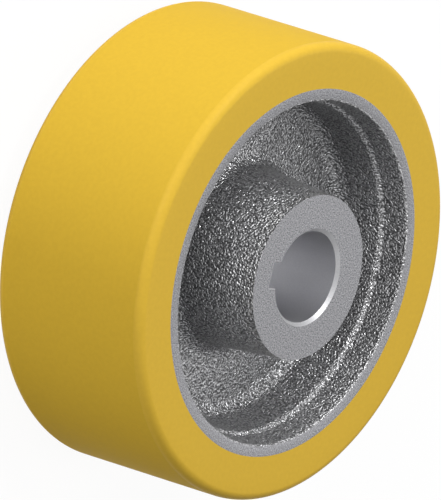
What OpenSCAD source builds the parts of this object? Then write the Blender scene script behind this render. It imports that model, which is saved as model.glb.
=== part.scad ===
// Drive wheel: a cast wheel centre with a keyed bore, and a thick moulded tread bonded round its rim.
// The axis is Z and the origin is the wheel's centre. The wheel lies on the lower end of its hub.
// Sections are drawn as [radius, height], with the height counted from the wheel's middle plane.

/* [Tread] */
// Outer diameter of the tread
wheel_d = 250; // [240:5:320]
// Width of the tread, and of the rim under it
tread_w = 100; // [90:5:140]
// Thickness of the tread over the rim
tread_t = 24.6; // [15:0.2:28]
// Radius of the tread's two outer edges
tread_edge_r = 5; // [1:0.5:8]

/* [Rim] */
// Width of the machined ring at each side of the rim
ring_w = 6.5; // [5:0.5:10]
// Radius where that ring turns into the rim's inside
ring_edge_r = 1; // [0.5:0.25:2]
// Height of the shoulder inside the rim, above the middle plane
shoulder_z = 34.5; // [32:0.5:40]
// How far the shoulder steps in
shoulder_w = 2.1; // [1:0.1:3]
// Radius of the shoulder's two rounds
shoulder_r = 1.9; // [1.6:0.1:3]
// Draft of all the cast walls, in degrees
draft = 5; // [2:0.5:6]

/* [Web] */
// Thickness of the web between hub and rim
web_t = 14; // [8:1:24]
// Radius of the fillet between web and rim
rim_fillet_r = 8; // [4:0.5:12]
// Radius of the fillet between web and hub
hub_fillet_r = 9; // [4:0.5:12]

/* [Hub] */
// Diameter of the hub's machined ends
hub_d = 90; // [84:1:100]
// Length of the hub
hub_l = 120; // [100:2:140]

/* [Bore] */
// Diameter of the bore
bore_d = 50; // [30:1:56]
// Width and height of the chamfer at each end of the bore
bore_chamfer = 1.8; // [0.5:0.1:2.5]

/* [Keyway] */
// Width of the keyway
key_w = 14; // [8:1:16]
// Distance from the axis to the keyway's floor
key_floor = 31.3; // [30:0.1:34]

/* [Hidden] */
$fn = 180;
fillet_steps = 12;
edge_steps = 6;
past = 1;
wheel_r = wheel_d / 2;
rim_r = wheel_r - tread_t;
bore_r = bore_d / 2;
side_z = tread_w / 2;
hub_z = hub_l / 2;
web_z = web_t / 2;

// Points on an arc about c, from angle a to angle b
function arc(c, r, a, b, steps) =
    [for (i = [0:steps]) let (t = a + (b - a) * i / steps) c + r * [cos(t), sin(t)]];

// The same points in the opposite order
function reversed(points) =
    [for (i = [len(points) - 1:-1:0]) points[i]];

// The points reflected in the middle plane
function below(points) =
    [for (p = points) [p[0], -p[1]]];

// Radius of a drafted wall at height z, where the wall has radius r at height z0.
// The hub grows thicker towards the web and so does the rim, which has the opposite sign.
function wall_r(r, z0, z, side) =
    r + side * (z0 - z) * tan(draft);

// The fillet from the hub's wall down to the web
function hub_foot() =
    let (z = web_z + hub_fillet_r,
         r = wall_r(hub_d / 2, hub_z, z, 1) + hub_fillet_r / cos(draft))
    arc([r, z], hub_fillet_r, 180 + draft, 270, fillet_steps);

// Radius of the rim's inside at height z, off the shoulder by a share of its step
function rim_in_r(z, share) =
    wall_r(rim_r - ring_w, side_z, z, -1) - share * shoulder_w;

// The fillet from the web up to the rim's lower wall
function rim_foot() =
    let (z = web_z + rim_fillet_r,
         r = rim_in_r(z, 1) - rim_fillet_r / cos(draft))
    arc([r, z], rim_fillet_r, -90, -draft, fillet_steps);

// The shoulder's two rounds, which meet halfway: the first bulges and the second is hollow
function shoulder() =
    let (middle = [rim_in_r(shoulder_z, 0.5), shoulder_z],
         step = shoulder_w * cos(draft),
         sweep = acos(1 - step / (2 * shoulder_r)),
         out = [cos(draft), -sin(draft)],
         up = [sin(draft), cos(draft)],
         side = (shoulder_r - step / 2) * out,
         rise = shoulder_r * sin(sweep) * up)
    concat(
        arc(middle + side - rise, shoulder_r, 180 - draft, 180 - draft - sweep, edge_steps),
        arc(middle - side + rise, shoulder_r, -draft - sweep, -draft, edge_steps));

// The round from the rim's upper wall to the machined ring
function ring_edge() =
    let (z = side_z - ring_edge_r,
         r = rim_in_r(z, 0) + ring_edge_r / cos(draft))
    arc([r, z], ring_edge_r, 180 - draft, 90, edge_steps);

// The round between the tread's side and its running face
function tread_edge() =
    arc([wheel_r - tread_edge_r, side_z - tread_edge_r], tread_edge_r, 90, 0, fillet_steps);

// Upper half of the wheel centre's section, from the bore out to the rim
function centre_half() =
    concat(
        [[bore_r, hub_z - bore_chamfer], [bore_r + bore_chamfer, hub_z], [hub_d / 2, hub_z]],
        hub_foot(),
        rim_foot(),
        shoulder(),
        ring_edge(),
        [[rim_r, side_z]]);

// Upper half of the tread's section
function tread_half() =
    concat([[rim_r, side_z]], tread_edge());

// A ring whose section is the given half and its reflection, with its seam away from the keyway
module turned(half) {
    rotate([0, 0, 90])
        rotate_extrude()
            polygon(concat(half, reversed(below(half))));
}

// The slot for the key, open into the bore and past both ends of the hub
module key_slot() {
    translate([0, -key_w / 2, -hub_z - past])
        cube([key_floor, key_w, hub_l + 2 * past]);
}

// One casting: hub, web and rim, with the bore and its keyway
module wheel_centre() {
    color([0.45, 0.46, 0.48])
        difference() {
            turned(centre_half());
            key_slot();
        }
}

// The moulded ring that rolls on the floor
module tread() {
    color([0.87, 0.69, 0.16])
        turned(tread_half());
}

wheel_centre();
tread();
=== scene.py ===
import math

import bpy
import numpy as np
from mathutils import Matrix, Vector, noise


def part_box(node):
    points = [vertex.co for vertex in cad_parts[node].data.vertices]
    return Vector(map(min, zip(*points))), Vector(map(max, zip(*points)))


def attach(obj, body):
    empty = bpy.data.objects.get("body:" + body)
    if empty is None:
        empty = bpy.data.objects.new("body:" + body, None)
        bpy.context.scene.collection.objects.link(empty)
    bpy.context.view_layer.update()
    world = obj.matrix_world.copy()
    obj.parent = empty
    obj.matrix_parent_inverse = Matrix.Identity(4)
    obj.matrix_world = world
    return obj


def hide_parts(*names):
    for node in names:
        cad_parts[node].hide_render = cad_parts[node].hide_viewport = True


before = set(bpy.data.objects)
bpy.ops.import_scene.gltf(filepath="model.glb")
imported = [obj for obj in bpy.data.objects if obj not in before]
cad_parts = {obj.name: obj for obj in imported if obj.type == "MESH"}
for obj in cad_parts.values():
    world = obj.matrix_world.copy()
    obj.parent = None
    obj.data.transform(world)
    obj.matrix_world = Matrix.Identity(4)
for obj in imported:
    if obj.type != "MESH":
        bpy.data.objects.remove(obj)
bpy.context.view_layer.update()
MM = 0.001

# Sizes that the frame gives, in metres
_, TREAD_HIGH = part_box("tread")
CENTRE_LOW, CENTRE_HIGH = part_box("wheel_centre")
WHEEL_R = TREAD_HIGH.x
SIDE_Z = TREAD_HIGH.z
HUB_Z = CENTRE_HIGH.z
FLOOR_Z = CENTRE_LOW.z

# Sizes of the section, as in the part's source, in metres
TREAD_T = 24.6 * MM
RIM_R = WHEEL_R - TREAD_T
TREAD_EDGE_R = 5 * MM
RING_W = 6.5 * MM
RING_EDGE_R = 1 * MM
SHOULDER_Z = 34.5 * MM
SHOULDER_W = 2.1 * MM
SHOULDER_R = 1.9 * MM
DRAFT = math.radians(5)
WEB_Z = 7 * MM
RIM_FILLET_R = 8 * MM
HUB_FILLET_R = 9 * MM
HUB_R = 45 * MM
BORE_R = 25 * MM
BORE_CHAMFER = 1.8 * MM
KEY_W = 14 * MM
KEY_FLOOR = 31.3 * MM

# The broken edge round the keyway's mouth, which only this mesh has
KEY_BREAK = 0.4 * MM

# Fineness of the meshes
TREAD_COLUMNS = 480
TREAD_EDGE_STEPS = 14
TREAD_SIDE_ROW = 12 * MM  # width of the side face's inner strip of faces
COLUMNS = 400
SLOT_SIDE_STEPS = 4
SLOT_FLOOR_STEPS = 8
FACE_ROWS = (0.35, 0.7, 1.0)  # rows across the hub's end, as shares of the way out
HUB_FOOT_STEPS = 12
RIM_FOOT_STEPS = 10
SHOULDER_STEPS = 4
RING_EDGE_STEPS = 4
SKIN_SPACING = 1.3 * MM
SHARP = math.radians(35)

# The cast skin's unevenness, which fades over a few rows at the machined faces
RELIEF = 0.16 * MM
RELIEF_WAVE = 9 * MM
RELIEF_RIPPLE = 3.4 * MM
RIPPLE_SHIFT = Vector((7.3, 1.9, 4.1))
RIPPLE_SHARE = 0.65
FADE_IN_ROWS = 2
FADE_OUT_ROWS = 3

# The camera: a very long lens, so that the picture is nearly without perspective
LENS_MM = 1500
SENSOR_MM = 36
CAMERA_DISTANCE = 11.05337
CAMERA_AZIMUTH = math.radians(-8.6566)
CAMERA_ELEVATION = math.radians(36.8249)
CAMERA_ROLL = math.radians(107.4292)
CENTRE_RIGHT_OF_AXIS = 0.35 * MM
CENTRE_BELOW_AXIS = 0.19 * MM

# The floor, in metres from its centre to its edges, and how much of the light it returns
FLOOR_HALF = 3
FLOOR_GREY = 0.6
# White's share in the floor that the camera sees, and its strength, with which the white
# and the floor's own shading come to 1 where nothing shades the floor
WHITE_SHARE = 0.85
WHITE_STRENGTH = 1.07

# The world's level on the wheel
SOFT_LEVEL = 0.1

# Lamps, as (name, azimuth from +X and elevation in degrees, size in metres, level, shadow).
# The key casts no shadow, because the hub in the photo casts none on the web behind it.
LAMP_DISTANCE = 5
LAMPS = [
    ("key", -80.7, 41.5, 0.5, 0.44, False),
    ("left", -84, 24, 1.8, 0.32, True),
    ("front", -28, 25, 2.6, 0.38, True),
    ("right", 55, 25, 2.6, 0.14, True),
    ("back", 190, 42, 2.6, 0.26, True),
    ("high_left", -70, 66, 0.7, 0.14, True),
    ("low_left", -88, 7, 1.0, 0.12, True),
    ("low_front", -20, 7, 1.0, 0.20, True),
]


def make_camera():
    """Looks down on the lying wheel and is rolled, so that the wheel fills the picture as upright."""
    ce, se = math.cos(CAMERA_ELEVATION), math.sin(CAMERA_ELEVATION)
    back = Vector((ce * math.cos(CAMERA_AZIMUTH), ce * math.sin(CAMERA_AZIMUTH), se))
    level_right = Vector((0, 0, 1)).cross(back).normalized()
    level_up = back.cross(level_right)
    cr, sr = math.cos(CAMERA_ROLL), math.sin(CAMERA_ROLL)
    up = level_up * cr - level_right * sr
    right = up.cross(back)
    data = bpy.data.cameras.new("camera")
    data.lens = LENS_MM
    data.sensor_width = SENSOR_MM
    data.clip_start = 1
    data.clip_end = 100
    camera = bpy.data.objects.new("camera", data)
    bpy.context.scene.collection.objects.link(camera)
    turn = Matrix((right, up, back)).transposed().to_4x4()
    place = back * CAMERA_DISTANCE - right * CENTRE_RIGHT_OF_AXIS + up * CENTRE_BELOW_AXIS
    camera.matrix_world = Matrix.Translation(place) @ turn
    bpy.context.scene.camera = camera


# Sections, as lists of (radius, height)

def arc(centre, radius, start, end, steps):
    """Points on an arc, from angle start to angle end in radians."""
    angles = np.linspace(start, end, steps + 1)
    return [(centre[0] + radius * math.cos(a), centre[1] + radius * math.sin(a)) for a in angles]


def spread(points, spacing):
    """The same line with points added, so that no two are further apart than spacing."""
    out = [points[0]]
    for a, b in zip(points, points[1:]):
        dr, dz = b[0] - a[0], b[1] - a[1]
        count = max(1, math.ceil(math.hypot(dr, dz) / spacing))
        out += [(a[0] + dr * i / count, a[1] + dz * i / count) for i in range(1, count + 1)]
    return out


def hub_wall_r(z):
    """Radius of the hub's drafted side at height z."""
    return HUB_R + (HUB_Z - z) * math.tan(DRAFT)


def rim_wall_r(z, share):
    """Radius of the rim's inside at height z, off the shoulder by a share of its step."""
    return RIM_R - RING_W - (SIDE_Z - z) * math.tan(DRAFT) - share * SHOULDER_W


def shoulder_points():
    """The shoulder's two rounds, the lower one bulging and the upper one hollow."""
    r, z = rim_wall_r(SHOULDER_Z, 0.5), SHOULDER_Z
    step = SHOULDER_W * math.cos(DRAFT)
    sweep = math.acos(1 - step / (2 * SHOULDER_R))
    out_r = (SHOULDER_R - step / 2) * math.cos(DRAFT)
    out_z = -(SHOULDER_R - step / 2) * math.sin(DRAFT)
    up_r, up_z = (SHOULDER_R * math.sin(sweep) * t for t in (math.sin(DRAFT), math.cos(DRAFT)))
    low = arc((r + out_r - up_r, z + out_z - up_z), SHOULDER_R,
              math.pi - DRAFT, math.pi - DRAFT - sweep, SHOULDER_STEPS)
    high = arc((r - out_r + up_r, z - out_z + up_z), SHOULDER_R,
               -DRAFT - sweep, -DRAFT, SHOULDER_STEPS)
    return low + high[1:]


def cast_section():
    """The cast skin's section on the upper side, from the hub's end to the rim's ring."""
    foot_z = WEB_Z + HUB_FILLET_R
    foot_r = hub_wall_r(foot_z) + HUB_FILLET_R / math.cos(DRAFT)
    rim_z = WEB_Z + RIM_FILLET_R
    rim_r = rim_wall_r(rim_z, 1) - RIM_FILLET_R / math.cos(DRAFT)
    edge_z = SIDE_Z - RING_EDGE_R
    edge_r = rim_wall_r(edge_z, 0) + RING_EDGE_R / math.cos(DRAFT)
    points = [(HUB_R, HUB_Z)]
    points += arc((foot_r, foot_z), HUB_FILLET_R, math.pi + DRAFT, 1.5 * math.pi, HUB_FOOT_STEPS)
    points += arc((rim_r, rim_z), RIM_FILLET_R, -0.5 * math.pi, -DRAFT, RIM_FOOT_STEPS)
    points += shoulder_points()
    points += arc((edge_r, edge_z), RING_EDGE_R, math.pi - DRAFT, 0.5 * math.pi, RING_EDGE_STEPS)
    return spread(points, SKIN_SPACING)


# Meshes

def new_piece(name, verts, faces, materials, face_materials=None):
    """A mesh object with smooth shading, and sharp edges where faces meet steeply."""
    mesh = bpy.data.meshes.new(name)
    mesh.from_pydata(verts, [], faces)
    for material in materials:
        mesh.materials.append(material)
    if face_materials is not None:
        mesh.polygons.foreach_set("material_index", face_materials)
    mesh.shade_smooth()
    mesh.set_sharp_from_angle(angle=SHARP)
    mesh.update()
    piece = bpy.data.objects.new(name, mesh)
    bpy.context.scene.collection.objects.link(piece)
    return piece


def new_ring(name, rows, kinds, materials):
    """A closed ring from rows of points that go once round its section.

    Each row's kind is the number of the material between it and the next row.
    """
    columns = len(rows[0])
    faces = []
    for i in range(len(rows)):
        k = (i + 1) % len(rows)
        for j in range(columns):
            n = (j + 1) % columns
            faces.append((i * columns + j, k * columns + j, k * columns + n, i * columns + n))
    verts = [point for row in rows for point in row]
    face_materials = [kind for kind in kinds for _ in range(columns)]
    return new_piece(name, verts, faces, materials, face_materials)


def around(r, z, angles):
    """A row of points at radius r and height z, in the given directions."""
    return [(r * math.cos(a), r * math.sin(a), z) for a in angles]


MOULDED, TURNED = range(2)


def make_tread(materials):
    """The moulded ring: side faces, rounded edges, a turned running face and the bonded inside."""
    edge_centre = (WHEEL_R - TREAD_EDGE_R, SIDE_Z - TREAD_EDGE_R)
    half = [(RIM_R, SIDE_Z), (RIM_R + TREAD_SIDE_ROW, SIDE_Z)]
    half += arc(edge_centre, TREAD_EDGE_R, 0.5 * math.pi, 0, TREAD_EDGE_STEPS)
    section = half + [(r, -z) for r, z in reversed(half)]
    angles = np.linspace(0, 2 * math.pi, TREAD_COLUMNS, endpoint=False)
    rows = [around(r, z, angles) for r, z in section]
    kinds = [MOULDED] * len(section)
    kinds[len(half) - 1] = TURNED
    return new_ring("tread_ring", rows, kinds, materials)


def slot_outline(r, half_width, floor):
    """Points round the bore at radius r, which leave the circle to follow the key's slot on +X."""
    edge_x = math.sqrt(r * r - half_width * half_width)
    side = [(edge_x + (floor - edge_x) * i / SLOT_SIDE_STEPS, half_width)
            for i in range(SLOT_SIDE_STEPS + 1)]
    bottom = [(floor, -half_width + 2 * half_width * i / SLOT_FLOOR_STEPS)
              for i in range(1, SLOT_FLOOR_STEPS)]
    slot = [(x, -y) for x, y in side] + bottom + side[::-1]
    start = math.asin(half_width / r)
    left = COLUMNS - len(slot)
    angles = [start + (2 * math.pi - 2 * start) * (i + 1) / (left + 1) for i in range(left)]
    return slot + [(r * math.cos(a), r * math.sin(a)) for a in angles]


CAST, MACHINED, CHAMFERED, BORED = range(4)


def bore_rows():
    """Rows from the middle plane up the bore to the hub's end, as (outline, height, kind)."""
    half = KEY_W / 2
    wall = slot_outline(BORE_R, half, KEY_FLOOR)
    broken = slot_outline(BORE_R + BORE_CHAMFER - KEY_BREAK, half, KEY_FLOOR)
    mouth = slot_outline(BORE_R + BORE_CHAMFER, half + KEY_BREAK, KEY_FLOOR + KEY_BREAK)
    return [
        (wall, 0.0, BORED),
        (wall, HUB_Z / 2, BORED),
        (wall, HUB_Z - BORE_CHAMFER, CHAMFERED),
        (broken, HUB_Z - KEY_BREAK, CHAMFERED),
        (mouth, HUB_Z, MACHINED),
    ]


def hub_face_rows(mouth):
    """Rows across the hub's end, straight out from the bore's mouth, and their directions."""
    angles = np.unwrap([math.atan2(y, x) for x, y in mouth])
    radii = np.hypot(*np.array(mouth).T)
    rows = []
    for share in FACE_ROWS:
        row_radii = radii + (HUB_R - radii) * share
        rows.append([(r * math.cos(a), r * math.sin(a), HUB_Z) for r, a in zip(row_radii, angles)])
    return rows, angles


def cast_relief(x, y, z):
    """Height of the cast skin's unevenness at a point, from -1 to 1."""
    wave = noise.noise(Vector((x, y, z)) / RELIEF_WAVE)
    ripple = noise.noise(Vector((x, y, z)) / RELIEF_RIPPLE + RIPPLE_SHIFT)
    return (1 - RIPPLE_SHARE) * wave + RIPPLE_SHARE * ripple


def smooth_step(t):
    """Goes from 0 to 1 with t, level at both ends."""
    return t * t * (3 - 2 * t)


def cast_rows(uneven, even):
    """Rows of the cast skin from the hub's end to the ring, moved along the section's normal.

    On the hub's side the columns turn from the slot's spacing to an even one.
    """
    section = cast_section()
    last = len(section) - 1
    turn_rows = round((HUB_Z - WEB_Z - HUB_FILLET_R) / SKIN_SPACING)
    rows = []
    for i in range(1, len(section)):
        a, b = section[i - 1], section[min(i + 1, last)]
        nr, nz = -(b[1] - a[1]), b[0] - a[0]
        length = math.hypot(nr, nz)
        r, z = section[i]
        fade = min(1.0, i / FADE_IN_ROWS, (last - i) / FADE_OUT_ROWS)
        turned = smooth_step(min(1.0, i / turn_rows))
        row = []
        for angle in uneven + (even - uneven) * turned:
            c, s = math.cos(angle), math.sin(angle)
            h = RELIEF * fade * cast_relief(r * c, r * s, z) / length
            row.append(((r + nr * h) * c, (r + nr * h) * s, z + nz * h))
        rows.append(row)
    return rows


def make_wheel_centre(materials):
    """The casting as one closed mesh, whose lower half mirrors its upper half."""
    inner = bore_rows()
    rows = [[(x, y, z) for x, y in outline] for outline, z, _ in inner]
    kinds = [kind for _, _, kind in inner]
    mouth = inner[-1][0]
    face, uneven = hub_face_rows(mouth)
    rows += face
    kinds += [MACHINED] * (len(face) - 1) + [CAST]
    slot_middle = (2 * SLOT_SIDE_STEPS + SLOT_FLOOR_STEPS) / 2
    even = (np.arange(COLUMNS) - slot_middle) * 2 * math.pi / COLUMNS
    skin = cast_rows(uneven, even)
    rows += skin
    kinds += [CAST] * (len(skin) - 1) + [MACHINED]
    rows.append(around(RIM_R, SIDE_Z, even))
    kinds.append(BORED)
    rows += [[(x, y, -z) for x, y, z in row] for row in reversed(rows[1:])]
    kinds += kinds[:-1][::-1]
    return new_ring("wheel_casting", rows, kinds, materials)


# Materials

def set_inputs(node, values):
    """Sets a node's inputs, each named by its key with spaces for underscores."""
    for key, value in values.items():
        node.inputs[key.replace("_", " ")].default_value = value


def node_tools(tree):
    """Functions that add a node with its inputs' values, and that link two sockets."""

    def add(kind, **values):
        node = tree.nodes.new(kind)
        set_inputs(node, values)
        return node

    return add, tree.links.new


def new_material(name, **values):
    """A new material, its Principled shader with the given values, and its node tools."""
    material = bpy.data.materials.new(name)
    material.use_nodes = True
    principled = material.node_tree.nodes["Principled BSDF"]
    set_inputs(principled, values)
    add, link = node_tools(material.node_tree)
    return material, principled, add, link


def noise_grain(add, link, scale, detail, roughness=0.5, turn=None):
    """A noise on the piece's own coordinates, turned about the axes where turn is given."""
    place = add("ShaderNodeTexCoord").outputs["Object"]
    if turn is not None:
        mapping = add("ShaderNodeMapping", Rotation=turn)
        link(place, mapping.inputs["Vector"])
        place = mapping.outputs["Vector"]
    grain = add("ShaderNodeTexNoise", Scale=scale, Detail=detail, Roughness=roughness)
    link(place, grain.inputs["Vector"])
    return grain.outputs["Fac"]


def tones(add, link, source, low, high, at_low, at_high):
    """A colour that goes from at_low, where the source is low, to at_high, where it is high."""
    ramp = add("ShaderNodeValToRGB")
    for stop, position, colour in zip(ramp.color_ramp.elements, (low, high), (at_low, at_high)):
        stop.position = position
        stop.color = (*colour, 1)
    link(source, ramp.inputs["Fac"])
    return ramp.outputs["Color"]


def grey(level, blue):
    """A grey whose blue is raised by a factor."""
    return level, level, level * blue


def bump_from(add, link, principled, height, distance):
    """Bump on the shader from a height, where a step of 1 in the height is distance metres."""
    bump = add("ShaderNodeBump", Strength=1.0, Distance=distance)
    link(height, bump.inputs["Height"])
    link(bump.outputs["Normal"], principled.inputs["Normal"])


# The part of its range that a noise mostly stays in
NOISE_LOW, NOISE_HIGH = 0.3, 0.7


def mottled_material(name, scale, colour, colour_share, roughness, roughness_spread, **values):
    """A fine mottling: a noise varies the colour by a share and the roughness by a spread.

    Returns the material and what a bump from the same noise needs.
    """
    material, p, add, link = new_material(name, **values)
    grain = noise_grain(add, link, scale, 1.0)
    darker, lighter = ([c * (1 + sign * colour_share) for c in colour] for sign in (-1, 1))
    link(tones(add, link, grain, NOISE_LOW, NOISE_HIGH, darker, lighter), p.inputs["Base Color"])
    rough = add("ShaderNodeMapRange", From_Min=NOISE_LOW, From_Max=NOISE_HIGH,
                To_Min=roughness - roughness_spread, To_Max=roughness + roughness_spread)
    link(grain, rough.inputs["Value"])
    link(rough.outputs["Result"], p.inputs["Roughness"])
    return material, p, add, link, grain


def tread_material(name, colour, roughness, gloss):
    """Cast polyurethane, faintly uneven, with a dull shine as moulded and less where turned."""
    material, p, add, link, grain = mottled_material(
        name, 420.0, colour, 0.02, roughness, 0.03, Specular_IOR_Level=gloss)
    bump_from(add, link, p, grain, 0.02 * MM)
    return material


def cast_material():
    """Blasted cast iron, wrinkled, with painted shade darkening the gaps and a painted highlight
    lightening the ridges.

    The noise is turned, because it is weakest in the planes of its lattice, where the web lies.
    """
    material, p, add, link = new_material("cast_skin", Metallic=0.75, Roughness=0.3)
    grain = noise_grain(add, link, 920.0, 0.0, turn=(0.6, 0.5, 0.3))
    bump_from(add, link, p, grain, 1.1 * MM)
    # Painted shade in the wrinkles' gaps and a painted highlight on their ridges: the colour follows
    # the bump's height
    skin = tones(add, link, grain, 0.35, 0.65, grey(0.12, 1.02), grey(0.41, 1.02))
    link(skin, p.inputs["Base Color"])
    return material


def machined_material():
    """Turned faces, whose fine grain is in the colour."""
    material, p, add, link = new_material("machined_iron", Metallic=0.8, Roughness=0.4)
    grain = noise_grain(add, link, 1300.0, 1.0, 0.6)
    face = tones(add, link, grain, NOISE_LOW, NOISE_HIGH, grey(0.06, 1.05), grey(0.25, 1.05))
    link(face, p.inputs["Base Color"])
    return material


def chamfer_material():
    """The bore's chamfer, cut finer than the faces."""
    return mottled_material(
        "chamfered_iron", 1300.0, (0.35, 0.35, 0.36), 0.06, 0.46, 0.02, Metallic=0.6)[0]


def bore_material():
    """The bored hole and the rim's outside under the tread, smooth, and lighter than the turned
    faces, partly as painted light that lifts the shade inside the hole.
    """
    # The light colour is partly painted light that lifts the shade inside the bore
    return mottled_material(
        "bored_iron", 1300.0, (0.665, 0.665, 0.685), 0.03, 0.35, 0.02, Metallic=1.0)[0]


# Floor, world and lamps

def seen_directly(add, link):
    """1 for camera, glossy and transmission rays, and 0 for the light that falls on the wheel."""
    path = add("ShaderNodeLightPath")
    first = add("ShaderNodeMath")
    second = add("ShaderNodeMath")
    first.operation = second.operation = "MAXIMUM"
    link(path.outputs["Is Camera Ray"], first.inputs[0])
    link(path.outputs["Is Glossy Ray"], first.inputs[1])
    link(first.outputs[0], second.inputs[0])
    link(path.outputs["Is Transmission Ray"], second.inputs[1])
    return second.outputs[0]


def mix_shaders(add, link, share, first, second, surface):
    """Links a mix of two shaders to a surface, where a share of 1 shows the second alone."""
    mix = add("ShaderNodeMixShader")
    link(share, mix.inputs[0])
    link(first, mix.inputs[1])
    link(second, mix.inputs[2])
    link(mix.outputs[0], surface)


def floor_material():
    """A pale grey for the light that it returns, and nearly white to the camera and reflections.

    The wheel's shadow stays on it faintly.
    """
    material, p, add, link = new_material(
        "floor_white", Base_Color=(FLOOR_GREY, FLOOR_GREY, FLOOR_GREY, 1), Roughness=1)
    white = add("ShaderNodeEmission", Strength=WHITE_STRENGTH)
    share = add("ShaderNodeMath")
    share.operation = "MULTIPLY"
    share.inputs[1].default_value = WHITE_SHARE
    link(seen_directly(add, link), share.inputs[0])
    surface = material.node_tree.nodes["Material Output"].inputs["Surface"]
    mix_shaders(add, link, share.outputs[0], p.outputs[0], white.outputs[0], surface)
    return material


def make_floor():
    """The plain floor that the wheel lies on, which is no part of it."""
    corners = ((-1, -1), (1, -1), (1, 1), (-1, 1))
    verts = [(x * FLOOR_HALF, y * FLOOR_HALF, FLOOR_Z) for x, y in corners]
    floor = new_piece("floor", verts, [(0, 1, 2, 3)], [floor_material()])


def make_world():
    """A soft even light on the wheel, and white to the camera and in reflections."""
    world = bpy.data.worlds.new("studio")
    world.use_nodes = True
    bpy.context.scene.world = world
    add, link = node_tools(world.node_tree)
    soft = world.node_tree.nodes["Background"]
    set_inputs(soft, {"Color": (1, 1, 1, 1), "Strength": SOFT_LEVEL})
    white = add("ShaderNodeBackground", Color=(1, 1, 1, 1))
    surface = world.node_tree.nodes["World Output"].inputs["Surface"]
    mix_shaders(add, link, seen_directly(add, link), soft.outputs[0], white.outputs[0], surface)


def make_lamp(name, azimuth, elevation, size, level, shadow):
    """A square soft lamp that faces the wheel. Level 1 shows a white card that faces it as white."""
    a, e = math.radians(azimuth), math.radians(elevation)
    toward = Vector((math.cos(e) * math.cos(a), math.cos(e) * math.sin(a), math.sin(e)))
    data = bpy.data.lights.new(name, "AREA")
    data.size = size
    data.energy = level * (math.pi * LAMP_DISTANCE) ** 2
    data.use_shadow = shadow
    lamp = bpy.data.objects.new(name, data)
    lamp.location = toward * LAMP_DISTANCE
    lamp.rotation_euler = toward.to_track_quat("Z", "Y").to_euler()
    lamp.visible_camera = False
    bpy.context.scene.collection.objects.link(lamp)


make_camera()
tread = make_tread([
    # The moulded sides are a little lighter than the turned face: painted light on the side faces
    tread_material("tread_moulded", (0.592, 0.381, 0.042), 0.36, 0.03),
    tread_material("tread_turned", (0.572, 0.368, 0.036), 0.5, 0.01),
])
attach(tread, "root")
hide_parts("tread")
casting = make_wheel_centre(
    [cast_material(), machined_material(), chamfer_material(), bore_material()])
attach(casting, "root")
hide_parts("wheel_centre")
make_floor()
make_world()
for lamp in LAMPS:
    make_lamp(*lamp)
bpy.context.scene.view_settings.view_transform = "Standard"
